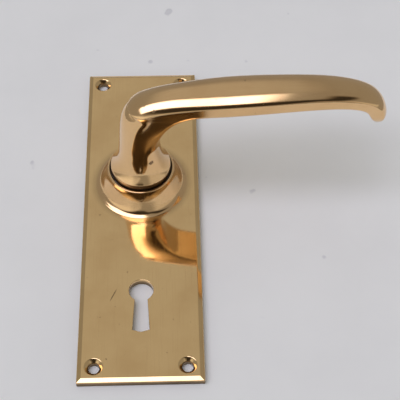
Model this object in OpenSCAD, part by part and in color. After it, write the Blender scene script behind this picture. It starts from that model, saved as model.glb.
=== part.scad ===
// Sprung door lever handle on a long backplate with a keyhole.
// +Z runs up the plate, the lever points along +X and the front faces -Y. The origin is on the
// spindle's axis at the door face. Every piece is drawn through facing_out(), in which the first
// coordinate is X, the second is the height Z and the third is the depth out of the door.

/* [Backplate] */
// Width of the backplate
plate_w = 50.8; // [46:0.2:56]
// Length of the backplate
plate_l = 165; // [158:1:180]
// Thickness of the backplate
plate_t = 3.5; // [3:0.1:4.5]
// Distance from the spindle up to the plate's top edge
plate_rise = 66; // [60:1:72]
// Width of the bevel round the front edge
bevel_w = 1.8; // [0.8:0.1:2]
// Depth of the bevel round the front edge
bevel_d = 0.8; // [0.5:0.1:1.5]
// Distance across between the screw holes
screw_dx = 37.4; // [34:0.2:40]
// Distance up between the screw holes
screw_dz = 151.6; // [140:0.2:153]
// Diameter of the screw holes
screw_d = 4.4; // [4:0.1:5]
// Diameter of the countersinks at the front face
sink_d = 7.5; // [7:0.1:9]

/* [Keyhole] */
// Distance from the spindle down to the keyhole's round end
lock_centres = 57; // [48:1:60]
// Diameter of the keyhole's round end
key_d = 10.2; // [9:0.1:11]
// Width of the keyhole's slot just under its round end
slot_top_w = 5; // [4.6:0.1:6]
// Width of the keyhole's slot at its foot
slot_foot_w = 7; // [6:0.1:8]
// Distance from the middle of the round end to the keyhole's foot
key_drop = 19.8; // [17:0.1:22]

/* [Collar] */
// Outer diameter of the collar's flare, where it meets the plate
collar_d = 40.4; // [39.4:0.2:42]
// Height of the collar's rim above the door face
collar_h = 14.4; // [13.8:0.1:14.8]

/* [Lever] */
// Diameter of the lever's round foot
foot_d = 26.2; // [25.4:0.1:26.4]
// Diameter of the shank that turns in the bush
shank_d = 15; // [14.8:0.1:15.2]
// Greatest width of the grip, measured up the plate
grip_w = 17.8; // [16:0.2:19]

/* [Spindle and spring] */
// Side of the square spindle
spindle_w = 8; // [7.6:0.1:8]
// How far the spindle stands out behind the door face
spindle_reach = 42; // [30:1:60]
// Diameter of the spring wire
wire_d = 1.4; // [1.2:0.1:1.4]
// Turns of the return spring
spring_turns = 3.25; // [2.25:1:3.25]
// How far the lever turns down, in degrees
lever_turn = 40; // [30:1:45]

/* [Hidden] */
$fn = 72;

polished = "#c9a55c";
cast = "#d8b270";
steel = "#8f9398";
zinc = "#b9bcc0";
nylon = "#e8e4d8";

eps = 0.01;
plate_foot = plate_rise - plate_l;
screw_z = plate_rise - plate_l / 2;

// depths out of the door face, from the back of the handle to its front
shank_end = 0.4;
groove_at = 0.92;
groove_w = 0.86;
wave_at = 1.82;
flat_at = 2.44;
cam_at = 3.05;
cam_t = 1.2;
step_at = 4.6;
web_at = 10.8;
recess_at = 12.6;
washer_t = 0.5;
foot_at = recess_at + washer_t + 0.05;
foot_top = 17.3;
socket_end = 15.5;

// radii of the collar and of what it holds
spigot_r = 16;
lip_r = 16.7;
rear_r = 14.2;
front_r = 11.9;
bush_r = 9.2;
recess_r = foot_d / 2 + 0.5;
rim_r = recess_r + 1;
shank_r = shank_d / 2;
flat_x = 6.4;
running = 0.05;
coil_r = 10;
leg_hole_r = wire_d / 2 + 0.15;
pin_r = 1;
pin_orbit = 13.05;
cam_r = 11.7;
tab_r = 13.9;
tab_half = 9;
pin_half = asin(pin_r / pin_orbit) + 0.6;
coil_start = 180;
coil_end = coil_start + 360 * spring_turns;

module facing_out() rotate([90, 0, 0]) children();
module turned(outline) facing_out() rotate_extrude() polygon(outline);
module disc(r, at, t) facing_out() translate([0, 0, at]) cylinder(r=r, h=t);
module ring(r_out, r_in, at, t) difference() {
    disc(r_out, at, t);
    disc(r_in, at - 1, t + 2);
}
// a point at radius r, turned by angle from straight up towards +X, at depth d
function around(r, angle, d) = [r * sin(angle), r * cos(angle), d];
function arc(cx, cy, r, from, to, n) =
    [for (i = [0:n]) let (a = from + (to - from) * i / n) [cx + r * cos(a), cy + r * sin(a)]];

// ---- backplate ----

function bevelled(low, high) = [[low, 0], [high, 0], [high, plate_t - bevel_d],
    [high - bevel_w, plate_t], [low + bevel_w, plate_t], [low, plate_t - bevel_d]];

module plate_blank() {
    intersection() {
        translate([0, 0, plate_foot]) linear_extrude(plate_l)
            polygon([for (p = bevelled(-plate_w / 2, plate_w / 2)) [p[0], -p[1]]]);
        translate([-plate_w / 2, 0, 0]) rotate([90, 0, 90]) linear_extrude(plate_w)
            polygon([for (p = bevelled(plate_foot, plate_rise)) [-p[1], p[0]]]);
    }
}

module keyhole() {
    facing_out() translate([0, -lock_centres, -1]) linear_extrude(plate_t + 2) {
        circle(d=key_d);
        polygon([[-slot_top_w / 2, -key_d / 4], [-slot_foot_w / 2, 1 - key_drop], [0, -key_drop],
                 [slot_foot_w / 2, 1 - key_drop], [slot_top_w / 2, -key_d / 4]]);
    }
}

module screw_hole(x, z) {
    sink_depth = (sink_d - screw_d) / 2;
    facing_out() translate([x, z, -1]) cylinder(d=screw_d, h=plate_t + 2);
    facing_out() translate([x, z, plate_t - sink_depth])
        cylinder(d1=screw_d, d2=sink_d + 2 * eps, h=sink_depth + eps);
}

module backplate() {
    color(polished) difference() {
        plate_blank();
        keyhole();
        for (x = [-screw_dx / 2, screw_dx / 2], z = [screw_z - screw_dz / 2, screw_z + screw_dz / 2])
            screw_hole(x, z);
        turned([[0, -1], [lip_r + 1, -1], [lip_r, 0], [spigot_r, lip_r - spigot_r],
                [spigot_r, plate_t + 1], [0, plate_t + 1]]);
    }
}

// ---- collar ----

// outside: a bell that flares out on the plate, as [how far across from rim to edge, depth]
bell = [[0.98, 3.6], [0.92, 3.72], [0.84, 3.95], [0.77, 4.25], [0.7, 4.65], [0.63, 5.1], [0.57, 5.65],
        [0.51, 6.3], [0.445, 6.95], [0.38, 7.65], [0.31, 8.45], [0.25, 9.15], [0.185, 9.9], [0.125, 10.7],
        [0.07, 11.5], [0.025, 12.3], [0, 13.1]];
function collar_outside() = concat(
    [[collar_d / 2, plate_t], [collar_d / 2, plate_t + 0.02]],
    [for (p = bell) [rim_r + (collar_d / 2 - rim_r) * p[0], p[1] - 3.5 + plate_t]],
    arc(rim_r - 0.3, collar_h - 0.3, 0.3, 0, 90, 3));

module collar() {
    color(cast) difference() {
        turned(concat(
            [[rear_r, shank_end], [lip_r - 0.3, shank_end], [spigot_r, lip_r - spigot_r], [spigot_r, plate_t]],
            collar_outside(),
            [[recess_r, collar_h], [recess_r, recess_at], [bush_r, recess_at], [bush_r, web_at],
             [front_r, web_at], [front_r, step_at], [rear_r, step_at]]));
        facing_out() translate(around(coil_r, coil_start, web_at - 1)) cylinder(r=leg_hole_r, h=2.4);
        for (angle = [-tab_half - pin_half, lever_turn + tab_half + pin_half])
            facing_out() translate(around(pin_orbit, angle, step_at - 1)) cylinder(r=pin_r, h=4);
    }
}

module bearing_bush() {
    color(nylon) ring(bush_r, shank_r + running, web_at - 2, recess_at - web_at + 2);
}

module thrust_washer() {
    color(nylon) ring(recess_r - 0.6, shank_r + running, recess_at, washer_t);
}

module stop_pins() {
    color(steel) for (angle = [-tab_half - pin_half, lever_turn + tab_half + pin_half])
        facing_out() translate(around(pin_orbit, angle, cam_at - 0.2)) cylinder(r=pin_r, h=step_at + 3 - cam_at + 0.2);
}

// ---- return spring: one leg in the collar's web, the coil, one leg in the cam ----

coil_front = web_at - wire_d / 2 - 0.1;
coil_back = cam_at + cam_t + wire_d / 2 + 0.15;
coil_steps = round(spring_turns * 20);
spring_path = concat(
    [around(coil_r, coil_start, web_at + 1.2), around(coil_r, coil_start, web_at + 0.2)],
    [for (i = [0:coil_steps]) let (s = i / coil_steps)
        around(coil_r, coil_start + (coil_end - coil_start) * s, coil_front + (coil_back - coil_front) * s)],
    [around(coil_r, coil_end, cam_at + cam_t - 0.2), around(coil_r, coil_end, cam_at + 0.1)]);

function unit(v) = v / norm(v);
function heading(path, i) = unit(path[min(i + 1, len(path) - 1)] - path[max(i - 1, 0)]);
// a ring of points round the path, squared to it and kept upright against the coil's radius
function wire_ring(path, i, r, sides) =
    let (t = heading(path, i), out = unit([path[i][0], path[i][1], 0]), u = unit(out - (out * t) * t),
         v = cross(t, u))
    [for (k = [0:sides - 1]) path[i] + r * (cos(360 * k / sides) * u + sin(360 * k / sides) * v)];

// side faces between neighbouring rings of points, and the two end faces
function skin(rings, sides) = concat(
    [[for (k = [0:sides - 1]) k]],
    [for (i = [0:rings - 2], k = [0:sides - 1])
        let (a = i * sides + k, b = i * sides + (k + 1) % sides) [a, a + sides, b + sides, b]],
    [[for (k = [sides - 1:-1:0]) (rings - 1) * sides + k]]);

module return_spring() {
    sides = 8;
    rings = len(spring_path);
    color(steel) facing_out() polyhedron(
        [for (i = [0:rings - 1]) each wire_ring(spring_path, i, wire_d / 2, sides)],
        skin(rings, sides), convexity=6);
}

// ---- lever ----

// Stations along the lever, from its round foot to the tip: the back point [x, depth], the front
// point [x, depth], half the width up the plate, the rise of the domed front, and how far the
// section has changed from the neck's oval (0) to the grip's D shape (1).
grip_half = grip_w / 2;
stations = [
    [[12.4, 16.2], [-12.4, 16.2], 12.4, 5, 0],
    [[12.4, 18], [-12.4, 18], 12.4, 5, 0],
    [[11.05, 20.5], [-11.05, 20.5], 11.05, 5, 0],
    [[9.85, 23.8], [-9.85, 23.8], 9.85, 5, 0],
    [[8.95, 29.2], [-8.95, 29.2], 8.9, 5, 0],
    [[8.8, 32.2], [-8.65, 32.4], 8.55, 5, 0.05],
    [[9, 36.3], [-8.3, 37.2], 8.4, 5, 0.3],
    [[9.9, 41.5], [-7.4, 46], 8.3, 5, 0.7],
    [[12.2, 46.4], [-4, 54.3], 8.15, 5, 0.9],
    [[16.4, 50.8], [6, 60.1], 8.1, 5, 1],
    [[24, 54], [20.8, 63.1], grip_half - 0.4, 4.4, 1],
    [[37, 55.4], [37, 65], grip_half, 4, 1],
    [[55, 56.7], [55, 65.9], grip_half - 0.3, 3.8, 1],
    [[71, 57.4], [72, 66.1], grip_half - 1.1, 3.5, 1],
    [[83.5, 57], [86.3, 64.7], grip_half - 1.9, 3.2, 1],
    [[91.6, 54.8], [97.6, 60], grip_half - 2.8, 2.6, 1],
    [[95, 51.2], [102.4, 53], grip_half - 3.7, 2.1, 1],
    [[97, 47.2], [102.9, 47.8], grip_half - 4.7, 1.5, 1],
    [[99.2, 43.2], [100.8, 43.2], grip_half - 7.5, 0.5, 0.4]];
station_steps = 3;
back_corner = 1.2;

// a smooth curve through a, b, c, d, between b and c
function curve(a, b, c, d, s) = b + 0.5 * s * (c - a + s * (2 * a - 5 * b + 4 * c - d + s * (3 * (b - c) + d - a)));
function station(i) = stations[max(0, min(i, len(stations) - 1))];
function along(i, s) = [for (k = [0:4])
    curve(station(i - 1)[k], station(i)[k], station(i + 1)[k], station(i + 2)[k], s)];

// half of the D section, from the middle of the back to the top of the dome: [depth, width]
function d_section(h, c, rise) =
    let (r = min(back_corner, c / 2, (h - rise) / 2), dome_r = (c * c + rise * rise) / (2 * rise),
         edge = asin(min(1, c / dome_r)))
    concat([[0, 0], [0, (c - r) / 2], [0, c - r], [r * (1 - sin(45)), c - r * (1 - cos(45))], [r, c],
            [(r + h - rise) / 2, c], [h - rise, c]],
           [for (k = [1:6]) let (a = edge * (1 - k / 6)) [h - dome_r * (1 - cos(a)), dome_r * sin(a)]]);
oval_angles = [0, 24, 46, 57, 68, 82, 98, 112, 126, 140, 153, 167, 180];
function oval_section(h, c) = [for (a = oval_angles) [h / 2 * (1 - cos(a)), c * sin(a)]];

function section(st) =
    let (back = st[0], h = norm(st[1] - back), dir = (st[1] - back) / h, c = st[2], m = st[4],
         d = d_section(h, c, min(st[3], h * 0.6)), o = oval_section(h, c), half = o * (1 - m) + d * m,
         last = len(half) - 1,
         loop = concat(half, [for (k = [last - 1:-1:1]) [half[k][0], -half[k][1]]]))
    [for (p = loop) [back[0] + dir[0] * p[0], p[1], back[1] + dir[1] * p[0]]];

module grip_and_neck() {
    sides = 2 * (len(oval_angles) - 1);
    rings = [for (i = [0:len(stations) - 2], s = [0:station_steps - 1]) section(along(i, s / station_steps))];
    all_rings = concat(rings, [section(station(len(stations) - 1))]);
    facing_out() polyhedron([for (r = all_rings) each r], skin(len(all_rings), sides), convexity=6);
}

module lever() {
    color(polished) difference() {
        union() {
            turned([[0, shank_end], [shank_r - 0.3, shank_end], [shank_r, shank_end + 0.3],
                    [shank_r, foot_at], [foot_d / 2 - 0.3, foot_at], [foot_d / 2, foot_at + 0.3],
                    [foot_d / 2, foot_top - 0.5], [foot_d / 2 - 0.5, foot_top], [0, foot_top]]);
            grip_and_neck();
        }
        facing_out() translate([0, 0, (socket_end - 1) / 2])
            cube([spindle_w + 2 * running, spindle_w + 2 * running, socket_end + 1], center=true);
        for (side = [-1, 1])
            facing_out() translate([side * (flat_x + 3), 0, (cam_at + cam_t) / 2])
                cube([6, 20, cam_at + cam_t], center=true);
        ring(shank_r + 1, shank_r - 0.6, groove_at, groove_w);
    }
}

// ---- what the shank carries behind the collar ----

module stop_cam() {
    color(zinc) facing_out() translate([0, 0, cam_at]) linear_extrude(cam_t) difference() {
        union() {
            circle(r=cam_r);
            intersection() {
                circle(r=tab_r);
                polygon([[0, 0], [30 * sin(-tab_half), 30 * cos(tab_half)], [30 * sin(tab_half), 30 * cos(tab_half)]]);
            }
        }
        intersection() {
            circle(r=shank_r + running);
            square([2 * (flat_x + running), 20], center=true);
        }
        translate([coil_r * sin(coil_end), coil_r * cos(coil_end)]) circle(r=leg_hole_r);
    }
}

module flat_washer() {
    color(zinc) ring(11.5, shank_r + running, flat_at, 0.58);
}

module wave_washer() {
    inner = shank_r + running;
    color(steel) turned([[inner, wave_at + 0.2], [10.6, wave_at], [10.6, wave_at + 0.35], [inner, wave_at + 0.55]]);
}

module circlip() {
    t = 0.8;
    lug = 34;
    color(steel) facing_out() translate([0, 0, groove_at + 0.03]) linear_extrude(t) difference() {
        union() {
            circle(r=9);
            for (side = [-1, 1]) rotate(side * lug) translate([0, -9]) circle(r=1.8);
        }
        circle(r=shank_r - 0.55);
        polygon([[0, 0], [20 * sin(-lug + 12), -20], [20 * sin(lug - 12), -20]]);
        for (side = [-1, 1]) rotate(side * lug) translate([0, -9.3]) circle(r=0.75);
    }
}

module spindle() {
    chamfer = 0.8;
    half = spindle_w / 2;
    color(steel) intersection() {
        facing_out() translate([0, 0, (socket_end - 0.5 - spindle_reach) / 2])
            cube([spindle_w, spindle_w, socket_end - 0.5 + spindle_reach], center=true);
        turned([[0, -spindle_reach], [half * 1.2, -spindle_reach], [half * 1.42, chamfer - spindle_reach],
                [half * 1.42, socket_end - chamfer - 0.5], [half * 1.2, socket_end - 0.5], [0, socket_end - 0.5]]);
    }
}

backplate();
collar();
bearing_bush();
thrust_washer();
stop_pins();
return_spring();
lever();
stop_cam();
flat_washer();
wave_washer();
circlip();
spindle();
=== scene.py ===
import math

import bmesh
import bpy
import numpy as np
from mathutils import Matrix, Vector


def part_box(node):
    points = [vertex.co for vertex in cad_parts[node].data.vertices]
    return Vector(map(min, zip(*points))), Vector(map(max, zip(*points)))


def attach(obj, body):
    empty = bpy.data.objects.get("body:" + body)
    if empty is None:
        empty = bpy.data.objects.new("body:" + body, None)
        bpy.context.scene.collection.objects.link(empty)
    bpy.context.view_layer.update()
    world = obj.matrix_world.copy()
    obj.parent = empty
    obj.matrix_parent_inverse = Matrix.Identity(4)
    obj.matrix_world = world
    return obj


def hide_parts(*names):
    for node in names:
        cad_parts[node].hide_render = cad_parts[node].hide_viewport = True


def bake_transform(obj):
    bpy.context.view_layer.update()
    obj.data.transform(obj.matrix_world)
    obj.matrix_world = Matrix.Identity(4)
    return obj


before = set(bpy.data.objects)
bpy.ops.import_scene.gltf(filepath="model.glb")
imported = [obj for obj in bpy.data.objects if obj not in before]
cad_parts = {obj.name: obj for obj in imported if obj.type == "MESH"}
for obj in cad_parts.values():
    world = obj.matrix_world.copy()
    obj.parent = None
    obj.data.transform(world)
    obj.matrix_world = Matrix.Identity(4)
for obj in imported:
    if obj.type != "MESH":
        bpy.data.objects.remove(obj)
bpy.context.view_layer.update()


# ---- Camera ----
# The handle lies on its back and is looked down on from below its foot, a little to the left,
# through a long lens, with the grip running off to the right.
mm = 0.001
plate_low, plate_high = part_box("backplate")
aim = Vector((25.9 * mm, plate_high.y, (plate_low.z + plate_high.z) / 2 + 8.4 * mm))
turn_left, look_down, tilt = math.radians(-1.77), math.radians(-36.9), math.radians(-2.05)
towards = Vector((
    math.sin(turn_left) * math.cos(look_down),
    -math.cos(turn_left) * math.cos(look_down),
    math.sin(look_down)))

camera_data = bpy.data.cameras.new("camera")
camera_data.sensor_width = 36
camera_data.lens = 95.8
camera_data.clip_start = 0.01
camera = bpy.data.objects.new("camera", camera_data)
bpy.context.scene.collection.objects.link(camera)
level = (-towards).to_track_quat("-Z", "Y").to_matrix()
camera.matrix_world = (
    Matrix.Translation(aim + towards * 475.2 * mm)
    @ (level @ Matrix.Rotation(tilt, 3, "Z")).to_4x4())
bpy.context.scene.camera = camera
bpy.context.scene.view_settings.view_transform = "Standard"


# ---- Board ----
# A painted white board that the handle is laid on, standing in for the door's face. It is matt and
# a little grubby. It shows from its front only and lets through light from the handle's back, so
# that the back can be looked at.
class Wire:
    """A value that runs through a material's nodes; arithmetic on it adds Math nodes."""

    def __init__(self, sheet, socket):
        self.sheet = sheet
        self.socket = socket

    def reckon(self, operation, *values):
        return self.sheet.add("Math", {"operation": operation}, dict(enumerate(values)))

    def __add__(self, other):
        return self.reckon("ADD", self, other)

    def __radd__(self, other):
        return self.reckon("ADD", other, self)

    def __sub__(self, other):
        return self.reckon("SUBTRACT", self, other)

    def __rsub__(self, other):
        return self.reckon("SUBTRACT", other, self)

    def __mul__(self, other):
        return self.reckon("MULTIPLY", self, other)

    def __rmul__(self, other):
        return self.reckon("MULTIPLY", other, self)

    def __truediv__(self, other):
        return self.reckon("DIVIDE", self, other)


class Sheet:
    """The nodes of one material or of the light around the object."""

    def __init__(self, tree):
        self.tree = tree
        self.tree.nodes.clear()

    def add(self, kind, settings=None, sockets=None, out=0):
        node = self.tree.nodes.new("ShaderNode" + kind)
        for name, value in (settings or {}).items():
            setattr(node, name, value)
        for name, value in (sockets or {}).items():
            if isinstance(value, Wire):
                self.tree.links.new(value.socket, node.inputs[name])
            else:
                node.inputs[name].default_value = value
        return Wire(self, node.outputs[out]) if node.outputs else None

    def split(self, vector):
        """The X, Y and Z of a vector."""
        parts = self.add("SeparateXYZ", sockets={0: vector}).socket.node.outputs
        return [Wire(self, part) for part in parts]

    def mottle(self, size, detail=3.0, rough=0.55, stretch=(1, 1, 1)):
        """Noise from 0 to 1 with patches of about this size in metres, longer where stretch is small."""
        place = self.add("Mapping", sockets={
            "Vector": self.add("TexCoord", out="Object"), "Scale": stretch})
        return self.add("TexNoise", sockets={
            "Vector": place, "Scale": 1 / size, "Detail": detail, "Roughness": rough})

    def between(self, value, low, high):
        """0 up to low and 1 from high on, with a soft step from one to the other."""
        return self.add("MapRange", {"interpolation_type": "SMOOTHSTEP"}, {
            "Value": value, "From Min": low, "From Max": high})

    def blend(self, share, first, second):
        """A mix of two colours."""
        return self.add("Mix", {"data_type": "RGBA"}, {0: share, 6: first, 7: second}, out=2)


def material(name):
    """A new material and its empty sheet of nodes."""
    made = bpy.data.materials.new(name)
    made.use_nodes = True
    return made, Sheet(made.node_tree)


def finished(name, shape, finish):
    """A mesh object at the origin from a bmesh, with its material."""
    mesh = bpy.data.meshes.new(name)
    shape.to_mesh(mesh)
    shape.free()
    mesh.materials.append(finish)
    for face in mesh.polygons:
        face.use_smooth = True
    piece = bpy.data.objects.new(name, mesh)
    bpy.context.scene.collection.objects.link(piece)
    return piece


white_paint, sheet = material("white_paint")
grub = sheet.mottle(0.05, detail=6)
speck = sheet.between(sheet.mottle(0.009, detail=2, rough=0.3), 0.74, 0.79)
paint_colour = sheet.blend(
    sheet.between(grub, 0.3, 0.75), (0.965, 0.96, 0.85, 1), (0.93, 0.925, 0.82, 1))
paint_colour = sheet.blend(speck * 0.35, paint_colour, (0.45, 0.44, 0.43, 1))
paint = sheet.add("BsdfPrincipled", sockets={
    "Base Color": paint_colour, "Roughness": 0.7, "Specular IOR Level": 0.2})
clear = sheet.add("BsdfTransparent")
behind = sheet.add("NewGeometry", out="Backfacing")
travelled = sheet.add("LightPath", out="Ray Length")
touching = travelled.reckon("LESS_THAN", travelled, 1.5 * mm)
unseen = behind.reckon("MAXIMUM", behind, touching)
sheet.add("OutputMaterial", sockets={
    "Surface": sheet.add("MixShader", sockets={0: unseen, 1: paint, 2: clear})})

board_shape = bmesh.new()
bmesh.ops.create_grid(board_shape, x_segments=1, y_segments=1, size=0.19)
bmesh.ops.rotate(board_shape, verts=board_shape.verts, matrix=Matrix.Rotation(math.radians(90), 3, "X"))
bmesh.ops.translate(board_shape, verts=board_shape.verts, vec=(0.03, plate_high.y + 0.2 * mm, 0))
board = finished("board", board_shape, white_paint)


# ---- Light ----
# One wide softbox above the foot of the plate, pale walls at the far end, the left and low down, and
# a dim room on the viewer's side, which gives the polished brass its one dark band. Angles are
# measured from straight above the board, towards the far end and towards the right.
world = bpy.data.worlds.new("studio")
bpy.context.scene.world = world
world.use_nodes = True
sky = Sheet(world.node_tree)
right, into_door, far = sky.split(sky.add("TexCoord", out="Generated"))
up = into_door * -1
near = far * -1
to_far = up.reckon("ARCTAN2", far, up) * math.degrees(1)
to_right = up.reckon("ARCTAN2", right, up) * math.degrees(1)
round_near = near.reckon("ARCTAN2", right, near) * math.degrees(1)


def window(angle, low, high, soft):
    """1 between two angles in degrees and 0 outside them."""
    return sky.between(angle, low - soft, low + soft) * sky.between(angle, high + soft, high - soft)


softbox = window(to_far, -32, 5, 4) * window(to_right, -50, 3, 3)
far_panel = window(to_far, 8, 62, 10) * window(to_right, -32, 9, 12)
dim_room = window(to_far, -78, -36, 5) * window(to_right, -44, 26, 9)
dim_right = window(to_far, -60, -14, 6) * window(to_right, 19, 40, 5)
dim = dim_room.reckon("MAXIMUM", dim_room, dim_right)
low_walls = window(to_far, -105, -58, 10) * (1 - window(round_near, -26, 30, 9))
low_left = window(to_far, -92, -46, 8) * window(to_right, -110, -52, 8)
lit = 0.30 + far_panel * 0.16 + low_walls * 0.24 + low_left * 0.30 + softbox * 2.35
strength = lit * (1 - dim * 0.88)
tint = sky.blend(softbox, (1, 1, 1, 1), (1, 1, 1.30, 1))
tint = sky.blend(dim, tint, (1, 0.86, 0.70, 1))
seen = sky.add("LightPath", out="Is Camera Ray")
glow = sky.add("Background", sockets={"Color": tint, "Strength": strength})
backdrop = sky.add("Background", sockets={"Color": (0.60, 0.60, 0.595, 1), "Strength": 1.0})
sky.add("OutputWorld", sockets={
    "Surface": sky.add("MixShader", sockets={0: seen, 1: glow, 2: backdrop})})


# ---- Lever ----
# The lever is one brass casting, fettled, turned at its foot and polished by hand: a round foot in
# the collar, flared in to an oval neck, and a D-shaped grip whose dome meets its flanks in a border.
crease_at = 4

# along the lever: back x, back depth, crest x, crest depth, half width, rise of the dome, boxiness
ribs = np.array([
    (8.95, 29.2, -8.95, 29.2, 8.9, 5.2, 0),
    (8.8, 32.2, -8.65, 32.4, 8.55, 5.2, 0.05),
    (9, 36.3, -8.3, 37.2, 8.4, 5.2, 0.3),
    (9.9, 41.5, -7.4, 46, 8.3, 5.2, 0.72),
    (12.2, 46.4, -4, 54.3, 8.15, 5.4, 0.93),
    (16.4, 50.8, 6.0, 60.1, 8.1, 5.2, 1),
    (24, 54, 20.8, 63.0, 8.45, 4.0, 1),
    (37, 55.4, 37, 64.8, 8.9, 3.6, 1),
    (55, 56.7, 55, 65.8, 8.6, 3.5, 1),
    (71, 57.4, 72, 66.0, 7.8, 3.2, 1),
    (83.5, 57, 86.3, 64.6, 7.0, 3.0, 1),
    (91.6, 54.8, 97.6, 60.0, 6.1, 2.6, 1),
    (95, 51.2, 102.4, 53.0, 5.2, 2.1, 1),
    (97, 47.2, 102.9, 47.8, 4.2, 1.5, 1),
    (99.2, 43.2, 100.8, 43.2, 1.4, 0.5, 0.4)])


def fair(values):
    """Slopes of a smooth curve through evenly spaced values, so that reflections run unbroken."""
    count = len(values)
    beside = np.ones(count - 1)
    stiff = np.diag(np.full(count, 4.0)) + np.diag(beside, 1) + np.diag(beside, -1)
    stiff[0, 0] = 2
    stiff[-1, -1] = 2
    pull = np.zeros_like(values)
    pull[1:-1] = 3 * (values[2:] - values[:-2])
    pull[0] = 3 * (values[1] - values[0])
    pull[-1] = 3 * (values[-1] - values[-2])
    return np.linalg.solve(stiff, pull)


slopes = fair(ribs)


def rib(s):
    """The lever's measures at any place along it, counted in ribs."""
    i = min(int(s), len(ribs) - 2)
    t = s - i
    a, b, da, db = ribs[i], ribs[i + 1], slopes[i], slopes[i + 1]
    return (
        a * (2 * t**3 - 3 * t**2 + 1) + da * (t**3 - 2 * t**2 + t)
        + b * (3 * t**2 - 2 * t**3) + db * (t**3 - t**2))


flank_steps = 32
dome_steps = 14


def half_section(h, c, rise, w, boxy):
    """From the middle of the back, round the flank to the border, and over the dome: depth, width."""
    border = h - rise
    middle = min(0.5 * h, 0.75 * border)
    lean = math.sqrt(max(0.0, 1 - (w / c) ** 2))
    corner = min(1.3, c / 2, middle / 2)
    run = (c - corner) + math.radians(90) * corner + (middle - corner)
    quarter = flank_steps // 2
    points = []
    for k in range(quarter + 1):
        a = math.radians(90) * k / quarter
        oval = (middle * (1 - math.cos(a)), c * math.sin(a))
        go = run * k / quarter
        if go < c - corner:
            box = (0.0, go)
        elif go < run - (middle - corner):
            turn = (go - (c - corner)) / corner
            box = (corner * (1 - math.cos(turn)), c - corner + corner * math.sin(turn))
        else:
            box = (middle - (run - go), c)
        points.append(tuple(o + (b - o) * boxy for o, b in zip(oval, box)))
    for k in range(1, quarter + 1):
        t = k / quarter
        eased_t = math.sin(math.radians(90) * t)
        t = eased_t if lean > 0.97 else t + (eased_t - t) * lean
        points.append((middle + t * (border - middle), c * math.sqrt(max(0.0, 1 - (lean * t) ** 2))))
    for k in range(1, dome_steps + 1):
        a = math.radians(90) * k / dome_steps
        points.append((border + rise * math.sin(a) ** 1.35, w * math.cos(a)))
    return points


def lever_section(s):
    """A closed loop of points round the neck or the grip; the dome grows out of the oval neck."""
    bx, bd, fx, fd, c, rise, boxy = rib(s)
    h = math.hypot(fx - bx, fd - bd)
    along_x, along_d = (fx - bx) / h, (fd - bd) / h
    past = max(0.0, s - crease_at)
    rise = rise * (1 - math.exp(-2.6 * math.sqrt(past)))
    w = 0.0
    if past > 0:
        border_x = fx - along_x * rise
        w = c * math.sqrt(max(0.0, 1 - (max(0.0, 3.6 - border_x) / 7.7) ** 2))
    rise = min(rise, 0.62 * h)
    half = half_section(h, c, rise, w, max(0.0, min(1.0, boxy)))
    loop = half + [(n, -v) for n, v in half[-2:0:-1]]
    return [Vector((bx + along_x * n, -(bd + along_d * n), v)) * mm for n, v in loop]


def round_section(r, depth):
    """The same loop as a plain circle, for the shank and the foot."""
    half = half_section(2 * r, r, 0.0, 0.0, 0.0)
    loop = half + [(n, -v) for n, v in half[-2:0:-1]]
    return [Vector((r - n, -depth, v)) * mm for n, v in loop]


stops = [i / 8 for i in range(crease_at * 8)]
stops += [crease_at + (k / 14) ** 2 for k in range(14)]
stops += [crease_at + 1 + i / 10 for i in range((len(ribs) - crease_at - 2) * 10 + 1)]
shank_end = -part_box("lever")[1].y / mm
foot_rows = [
    (0.001, shank_end), (4.0, shank_end), (7.2, shank_end), (7.5, shank_end + 0.3), (7.5, 6.0),
    (7.5, 12.9), (7.6, 13.15), (12.7, 13.15), (13.0, 13.25), (13.1, 13.5), (13.1, 16.5),
    (13.08, 16.8), (13.0, 17.1), (12.85, 17.35), (12.6, 17.7), (12.1, 18.5), (11.55, 19.5), (11.05, 20.5),
    (10.6, 21.5), (10.2, 22.6), (9.85, 23.8), (9.55, 25.1), (9.3, 26.4), (9.1, 27.8)]
loops = [round_section(r, d) for r, d in foot_rows]
crease_row = len(loops) + crease_at * 8
loops += [lever_section(s) for s in stops]
tip_middle = sum(loops[-1], Vector()) / len(loops[-1])
tip_out = (tip_middle - sum(loops[-2], Vector()) / len(loops[-2])).normalized()
loops += [[tip_middle + (p - tip_middle) * 0.6 + tip_out * 0.35 * mm for p in loops[-1]]]
loops += [[tip_middle + tip_out * 0.5 * mm for p in loops[-1]]]
rows = len(loops) - 1
around = len(loops[0])


def grid_place(vert):
    """Row and column of a corner of the flat grid that is wrapped round the lever."""
    return round((vert.co.x + 0.5) * rows), round((vert.co.y + 0.5) * around)


lever_shape = bmesh.new()
bmesh.ops.create_grid(lever_shape, x_segments=rows, y_segments=around, size=0.5)
crease = lever_shape.edges.layers.float.new("crease_edge")
border_columns = (flank_steps, around - flank_steps)
for edge in lever_shape.edges:
    (row_a, column_a), (row_b, column_b) = [grid_place(v) for v in edge.verts]
    on_border = column_a == column_b and column_a in border_columns
    if on_border and min(row_a, row_b) >= crease_row:
        edge[crease] = 0.8
for vert in lever_shape.verts:
    row, column = grid_place(vert)
    vert.co = loops[row][column % around]
bmesh.ops.remove_doubles(lever_shape, verts=lever_shape.verts, dist=2e-6)
bmesh.ops.recalc_face_normals(lever_shape, faces=lever_shape.faces)


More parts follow.
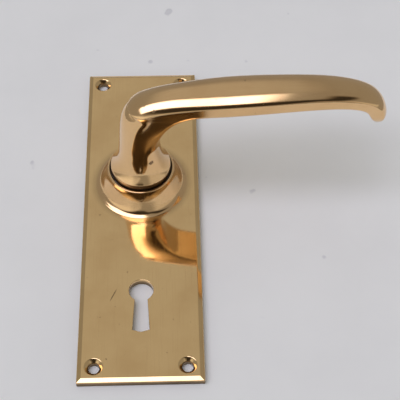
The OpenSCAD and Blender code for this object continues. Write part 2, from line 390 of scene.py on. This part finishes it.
def brass(name, marks_and_shade, polish, ripple, tone=(0.90, 0.59, 0.285, 1), brushed=(1, 1, 0.03)):
    """Polished and lacquered brass: ripples and fine scratches from polishing, tarnish in specks.
    The second argument takes the sheet of nodes and gives, from 0 to 1, where dirt has settled and where
    shade is painted in recesses and against other parts."""
    made, sheet = material(name)
    cloud = sheet.mottle(0.022, detail=5)
    speckle = sheet.between(sheet.mottle(0.0016, detail=1, rough=0.3), 0.77, 0.82)
    scratch = sheet.mottle(0.0006, detail=2, stretch=brushed)
    dull = tuple(v * s for v, s in zip(tone[:3], (0.90, 0.86, 0.82))) + (1,)
    colour = sheet.blend(sheet.between(cloud, 0.35, 0.75), tone, dull)
    colour = sheet.blend(sheet.between(scratch, 0.5, 0.75) * 0.45, colour, dull)
    colour = sheet.blend(speckle * 0.6, colour, (0.20, 0.11, 0.05, 1))
    # Where dirt lies and where shade is painted, the brass darkens to a near-black brown and roughens.
    dirt_and_shade = marks_and_shade(sheet) * (0.75 + cloud * 0.4)
    colour = sheet.blend(dirt_and_shade, colour, (0.075, 0.040, 0.015, 1))
    rough = polish + cloud * 0.06 + sheet.between(scratch, 0.55, 0.8) * 0.08 + speckle * 0.25
    rough = rough + dirt_and_shade * 0.30
    wave = sheet.mottle(0.009, detail=1, rough=0.4)
    ripples = sheet.add("Bump", sockets={
        "Strength": 1.0, "Distance": ripple * mm, "Height": wave + scratch * 0.03})
    metal = sheet.add("BsdfPrincipled", sockets={
        "Base Color": colour, "Metallic": 1.0, "Roughness": rough, "Normal": ripples,
        "Coat Weight": 0.45, "Coat Roughness": 0.06, "Coat IOR": 1.5})
    sheet.add("OutputMaterial", sockets={"Surface": metal})
    return made


def spot(sheet):
    """Across, depth out of the door and height of a point, and its distance from the axis, in mm."""
    x, y, z = sheet.split(sheet.add("TexCoord", out="Object"))
    across = x / mm
    depth = y / -mm
    height = z / mm
    radius = across.reckon("SQRT", across * across + height * height)
    return across, depth, height, radius


def nick(sheet, x, depth, z, size):
    """A small dark knock with a ragged edge at a point given in mm, from 0 to 1."""
    point = (x * mm, -depth * mm, z * mm)
    coords = sheet.add("TexCoord", out="Object")
    apart = sheet.add("VectorMath", {"operation": "DISTANCE"}, {0: coords, 1: point}, out="Value")
    ragged = apart / mm + (sheet.mottle(0.0011, detail=3) - 0.5) * size * 1.6
    return sheet.between(ragged, size * 0.62, size * 0.38)


def lever_shade_and_knocks(sheet):
    """Painted shade on the foot where it stands down in the collar, and four knocks."""
    across, depth, height, radius = spot(sheet)
    # Painted shade: the foot darkens where it sinks into the collar.
    marks_and_shade = sheet.between(depth, 17.2, 16.4) * 0.85
    marks_and_shade = marks_and_shade + nick(sheet, 4.9, 26.6, -7.9, 2.0) * 0.8
    marks_and_shade = marks_and_shade + nick(sheet, 6.7, 58.1, -6.8, 1.1) * 0.8
    marks_and_shade = marks_and_shade + nick(sheet, 55, 62.4, 8.4, 1.2) * 0.8
    marks_and_shade = marks_and_shade + nick(sheet, 89.4, 59.6, -6.0, 0.8) * 0.8
    return marks_and_shade


lever = finished("polished_lever", lever_shape, brass(
    "lever_brass", lever_shade_and_knocks, polish=0.075, ripple=0.03, brushed=(0.03, 1, 1)))
smoother = lever.modifiers.new("smooth", "SUBSURF")
smoother.levels = 1
smoother.render_levels = 1
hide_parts("lever")
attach(lever, "lever")


# ---- Collar ----
# A brass bell turned from bar and swaged into the plate. It flares out on the plate and rises to a
# thin rim round the lever's foot; its hollow back holds the bush, the spring and the stop pins.
def arc(cx, cy, r, start, stop, count):
    """Points on an arc, with its angles in degrees."""
    angles = [math.radians(start + (stop - start) * k / count) for k in range(count + 1)]
    return [(cx + r * math.cos(a), cy + r * math.sin(a)) for a in angles]


collar_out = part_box("collar")[1].x / mm
collar_top = -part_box("collar")[0].y / mm
outline = [(16.0, 3.4), (collar_out, 3.4), (collar_out, 3.52)]
outline += [
    (20.1, 3.6), (19.7, 3.74), (19.2, 3.98), (18.75, 4.27), (18.35, 4.62), (18.0, 5.03), (17.7, 5.47),
    (17.4, 5.96), (17.1, 6.52), (16.7, 7.3), (16.3, 8.1), (15.95, 8.8), (15.6, 9.55), (15.27, 10.4),
    (14.98, 11.3), (14.78, 12.2), (14.65, 13.1)]
outline += arc(14.3, collar_top - 0.3, 0.3, 0, 90, 5)
outline += arc(13.75, collar_top - 0.25, 0.25, 90, 180, 4)
outline += [(13.5, 12.6), (9.2, 12.6), (9.2, 10.8), (11.9, 10.8), (11.9, 4.6), (14.2, 4.6), (14.2, 0.4)]
outline += [(16.4, 0.4), (16.0, 0.7), (16.0, 3.4)]


def spun(points):
    """A shape turned about the lever's axis from its outline of radius and depth."""
    shape = bmesh.new()
    verts = [shape.verts.new((r * mm, -d * mm, 0)) for r, d in points]
    edges = [shape.edges.new(pair) for pair in zip(verts, verts[1:])]
    bmesh.ops.spin(
        shape, geom=verts + edges, cent=(0, 0, 0), axis=(0, 1, 0), dvec=(0, 0, 0),
        angle=2 * math.pi, steps=144, use_merge=True, use_normal_flip=False, use_duplicate=False)
    bmesh.ops.remove_doubles(shape, verts=shape.verts, dist=1e-6)
    bmesh.ops.recalc_face_normals(shape, faces=shape.faces)
    for edge in shape.edges:
        if len(edge.link_faces) == 2 and edge.calc_face_angle(0) > math.radians(35):
            edge.smooth = False
    return shape


def collar_recess_shade(sheet):
    """Painted shade in the recess under the lever's foot."""
    across, depth, height, radius = spot(sheet)
    return sheet.between(radius, 14.1, 13.7)


collar = finished("turned_collar", spun(outline), brass(
    "collar_brass", collar_recess_shade, polish=0.10, ripple=0.02))
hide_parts("collar")
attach(collar, "plate")


# ---- Backplate ----
# A rolled brass plate, sheared, bevelled round its front, drilled and countersunk at the corners,
# with the keyhole punched through. Its face is buffed along its length and lacquered.
def eased(node, name, ease, finish):
    """A welded copy of a CAD solid with its sharp edges eased, as handling and buffing leave them."""
    shape = bmesh.new()
    shape.from_mesh(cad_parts[node].data)
    bmesh.ops.remove_doubles(shape, verts=shape.verts, dist=1e-6)
    bmesh.ops.dissolve_limit(
        shape, angle_limit=math.radians(0.5), verts=shape.verts, edges=shape.edges)
    piece = finished(name, shape, finish)
    softened = piece.modifiers.new("eased", "BEVEL")
    softened.width = ease
    softened.segments = 3
    softened.limit_method = "ANGLE"
    softened.angle_limit = math.radians(20)
    softened.use_clamp_overlap = False
    levelled = piece.modifiers.new("levelled", "WEIGHTED_NORMAL")
    levelled.weight = 80
    return piece


def plate_shade_and_marks(sheet):
    """Dull sheared edges and back with painted shade in the hole walls and where the edge meets the
    board, painted shade round the collar's foot, a scratch and two dots.
    """
    across, depth, height, radius = spot(sheet)
    # The sides, back and hole walls are darkened: dull sheared metal, with painted shade in the holes and
    # where the edge meets the board.
    edges = sheet.between(depth, 2.42, 2.22) * 0.85
    # Painted shade on the plate round the collar's foot.
    collar_shade = sheet.between(radius, collar_out + 3.2, collar_out - 0.5) * 0.30
    along = (across + 11.5) * 0.42 + (height + 59.2) * 0.905
    aside = (across + 11.5) * 0.905 - (height + 59.2) * 0.42
    off_scratch = along.reckon("SQRT", along * along * 0.07 + aside * aside * 12)
    scratch = sheet.between(off_scratch, 1.0, 0.6) * 0.7
    dots = nick(sheet, -5.8, 3.5, -48, 0.5) + nick(sheet, -18.1, 3.5, -18, 0.55)
    return edges + collar_shade + scratch + dots * 0.7


plate = eased("backplate", "bevelled_backplate", 0.2 * mm, brass(
    "plate_brass", plate_shade_and_marks, polish=0.035, ripple=0.008, tone=(0.90, 0.615, 0.285, 1)))
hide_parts("backplate")
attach(plate, "plate")


# ---- Bush and thrust washer ----
# Off-white moulded nylon: the bush that the shank turns in, and the washer under the lever's foot.
nylon, sheet = material("moulded_nylon")
flow = sheet.mottle(0.004, detail=4)
shade = sheet.blend(flow, (0.78, 0.75, 0.66, 1), (0.84, 0.82, 0.75, 1))
matt = sheet.add("Bump", sockets={"Strength": 0.4, "Distance": 0.02 * mm, "Height": sheet.mottle(0.0004)})
moulded = sheet.add("BsdfPrincipled", sockets={
    "Base Color": shade, "Roughness": 0.42 + flow * 0.15, "Normal": matt, "IOR": 1.53})
sheet.add("OutputMaterial", sockets={"Surface": moulded})
bush = eased("bearing_bush", "nylon_bush", 0.15 * mm, nylon)
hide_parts("bearing_bush")
washer = eased("thrust_washer", "nylon_thrust_washer", 0.1 * mm, nylon)
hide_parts("thrust_washer")
for piece in (bush, washer):
    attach(piece, "plate")


# ---- Return spring ----
# Hard-drawn steel wire wound in open turns, with one leg in the collar's web and the other in the
# stop cam, so that it winds up as the lever turns.
def steel(name, tone, rough, grain):
    """Plain or plated steel with drawn or stamped grain and faint staining."""
    made, sheet = material(name)
    stain = sheet.mottle(0.006, detail=5)
    lines = sheet.mottle(0.0005, detail=3, stretch=grain)
    stained = tuple(v * 0.72 for v in tone[:3]) + (1,)
    shade = sheet.blend(sheet.between(stain, 0.4, 0.75), tone, stained)
    bump = sheet.add("Bump", sockets={"Strength": 0.5, "Distance": 0.01 * mm, "Height": lines})
    metal = sheet.add("BsdfPrincipled", sockets={
        "Base Color": shade, "Metallic": 1.0, "Roughness": rough + stain * 0.12 + lines * 0.08,
        "Normal": bump})
    sheet.add("OutputMaterial", sockets={"Surface": metal})
    return made


coil_r, wire_r = 10.0 * mm, 0.7 * mm
web_at, cam_front = 10.8 * mm, 4.25 * mm
coil_front, coil_back = web_at - wire_r - 0.1 * mm, cam_front + wire_r + 0.15 * mm
turns = 3.25
coil_steps = 156
spring_shape = bmesh.new()
bmesh.ops.create_circle(spring_shape, cap_ends=False, segments=12, radius=wire_r)
bmesh.ops.rotate(spring_shape, verts=spring_shape.verts, matrix=Matrix.Rotation(math.radians(90), 3, "Y"))
bmesh.ops.translate(spring_shape, verts=spring_shape.verts, vec=(0, -coil_front, -coil_r))
front_ring = list(spring_shape.edges)
coil = bmesh.ops.spin(
    spring_shape, geom=list(spring_shape.verts) + front_ring, cent=(0, 0, 0), axis=(0, 1, 0),
    dvec=(0, (coil_front - coil_back) / coil_steps, 0), angle=math.radians(360 * turns), steps=coil_steps,
    use_merge=False, use_normal_flip=False, use_duplicate=False)
back_ring = [g for g in coil["geom_last"] if isinstance(g, bmesh.types.BMEdge)]


def spring_leg(ring, reach, bend):
    """Turns the end of the wire towards the door or away from it and runs it on, then closes it."""
    for turn, step in [(bend / 5, 0.25 * mm)] * 5 + [(0, reach)]:
        grown = bmesh.ops.extrude_edge_only(spring_shape, edges=ring)["geom"]
        ring = [g for g in grown if isinstance(g, bmesh.types.BMEdge)
                and all(v in grown for v in g.verts)]
        ring = [e for e in ring if len(e.link_faces) == 1]
        verts = list({v for e in ring for v in e.verts})
        middle = sum((v.co for v in verts), Vector()) / len(verts)
        out = Vector((middle.x, 0, middle.z)).normalized()
        bmesh.ops.rotate(spring_shape, verts=verts, cent=middle, matrix=Matrix.Rotation(turn, 3, out))
        heading = ring_heading(ring, middle)
        bmesh.ops.translate(spring_shape, verts=verts, vec=heading * step)
    bmesh.ops.edgeloop_fill(spring_shape, edges=ring)


def ring_heading(ring, middle):
    """The way out of an open end of wire, away from its last faces."""
    behind = sum((f.calc_center_median() for e in ring for f in e.link_faces), Vector())
    behind /= sum(len(e.link_faces) for e in ring)
    verts = list({v for e in ring for v in e.verts})
    one = verts[0].co - middle
    other = max((v.co - middle for v in verts), key=lambda p: one.cross(p).length)
    normal = one.cross(other).normalized()
    return normal if normal.dot(middle - behind) >= 0 else -normal


spring_leg(front_ring, 0.9 * mm, math.radians(-80))
spring_leg(back_ring, 0.9 * mm, math.radians(-80))
bmesh.ops.recalc_face_normals(spring_shape, faces=spring_shape.faces)
spring = finished("coiled_return_spring", spring_shape, steel(
    "spring_wire", (0.42, 0.42, 0.43, 1), 0.26, (1, 1, 1)))
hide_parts("return_spring")
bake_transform(spring)


# ---- Stop pins ----
# Two hardened steel dowels driven into the collar's shoulder. The cam's tab stops against one or the
# other at each end of the lever's travel.
pins = eased("stop_pins", "driven_stop_pins", 0.15 * mm, steel(
    "dowel_steel", (0.56, 0.56, 0.57, 1), 0.20, (1, 0.1, 1)))
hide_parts("stop_pins")
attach(pins, "plate")


# ---- Stop cam and washers ----
# Stamped steel with bright zinc plating: the cam keyed to the shank's flats, the plain washer and
# the wave washer that takes up end play.
zinc = steel("zinc_plate", (0.66, 0.67, 0.69, 1), 0.30, (1, 1, 1))
cam = eased("stop_cam", "stamped_stop_cam", 0.12 * mm, zinc)
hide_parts("stop_cam")
flat = eased("flat_washer", "stamped_flat_washer", 0.1 * mm, zinc)
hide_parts("flat_washer")
wave = eased("wave_washer", "sprung_wave_washer", 0.08 * mm, steel(
    "washer_spring_steel", (0.45, 0.45, 0.46, 1), 0.28, (1, 1, 1)))
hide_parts("wave_washer")
for piece, slot in ((cam, "zinc_steel"), (flat, "zinc_steel"), (wave, "spring_steel")):
    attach(piece, "lever")


# ---- Circlip ----
# A blackened spring-steel circlip, stamped with two lugs for pliers. It snaps into the shank's groove
# and holds the whole lever in the collar.
clip = eased("circlip", "blackened_circlip", 0.08 * mm, steel(
    "blackened_steel", (0.10, 0.10, 0.105, 1), 0.36, (1, 1, 1)))
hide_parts("circlip")
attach(clip, "lever")


# ---- Spindle ----
# An 8 mm square bar of bright drawn steel with chamfered ends. It is pushed into the lever's socket
# and runs through the door to turn the latch.
bar = eased("spindle", "square_spindle", 0.2 * mm, steel(
    "bright_drawn_steel", (0.52, 0.51, 0.50, 1), 0.30, (1, 0.04, 1)))
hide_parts("spindle")
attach(bar, "lever")
